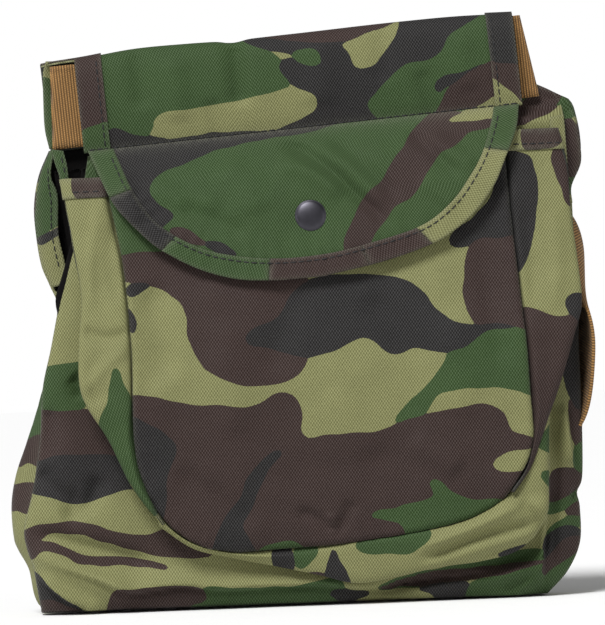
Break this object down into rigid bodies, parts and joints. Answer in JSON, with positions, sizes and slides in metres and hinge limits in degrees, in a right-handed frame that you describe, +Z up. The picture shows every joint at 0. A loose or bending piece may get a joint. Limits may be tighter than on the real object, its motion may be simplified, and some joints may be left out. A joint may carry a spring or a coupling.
{
  "type": "hand warmer muff",
  "caption": "Soft belt-worn hand muff: open-ended hand tube with a bellows pouch in front, a round snap flap, and a tunnel along the top for webbing.",
  "frame": {"origin": "on the floor, under the middle of the standing muff's box", "axes": "+Z up, the flap and pouch face -Y, +X to the right seen from the front; the hand tube runs along X"},
  "size_m": [0.2802, 0.053, 0.2797],
  "materials": {
    "camouflage_cloth": "coated oxford weave printed in four woodland colours",
    "lining_cloth": "brushed black",
    "wadding": "lofted fibre",
    "webbing": "ribbed webbing",
    "gunmetal": "satin dark snap"
  },
  "bodies": {
    "muff": {"back_panel": "camouflage_cloth", "back_wadding": "wadding", "back_lining": "lining_cloth", "front_wall": "camouflage_cloth", "front_wadding": "wadding", "front_lining": "lining_cloth", "bottom_panel": "camouflage_cloth", "left_side_panel": "camouflage_cloth", "right_side_panel": "camouflage_cloth", "left_opening_back_hem": "camouflage_cloth", "left_opening_front_hem": "camouflage_cloth", "right_opening_back_hem": "camouflage_cloth", "right_opening_front_hem": "camouflage_cloth", "tunnel_front": "camouflage_cloth", "tunnel_back": "camouflage_cloth", "tunnel_left_hem": "camouflage_cloth", "tunnel_right_hem": "camouflage_cloth", "pouch_panel": "camouflage_cloth", "pouch_mouth_hem": "camouflage_cloth", "pouch_gusset_left": "camouflage_cloth", "pouch_gusset_right": "camouflage_cloth", "pouch_gusset_bottom": "camouflage_cloth", "gusset_left_hem": "camouflage_cloth", "gusset_right_hem": "camouflage_cloth", "snap_stud": "gunmetal", "snap_post": "gunmetal"},
    "flap": {"flap_panel": "camouflage_cloth", "flap_facing": "camouflage_cloth", "snap_cap": "gunmetal", "snap_socket": "gunmetal"},
    "belt": {"belt_webbing": "webbing", "belt_tail": "webbing"}
  },
  "joints": [
    {"name": "flap_lift", "type": "hinge", "parent": "muff", "child": "flap", "pos_m": [0.00613, 0.0021, 0.2264], "axis": [-0.9975, 0, -0.0704], "range_deg": [0, 120]},
    {"name": "belt_slip", "type": "slide", "parent": "muff", "child": "belt", "axis": [0.9975, 0, 0.0704], "range_m": [0, 0.006]}
  ]
}
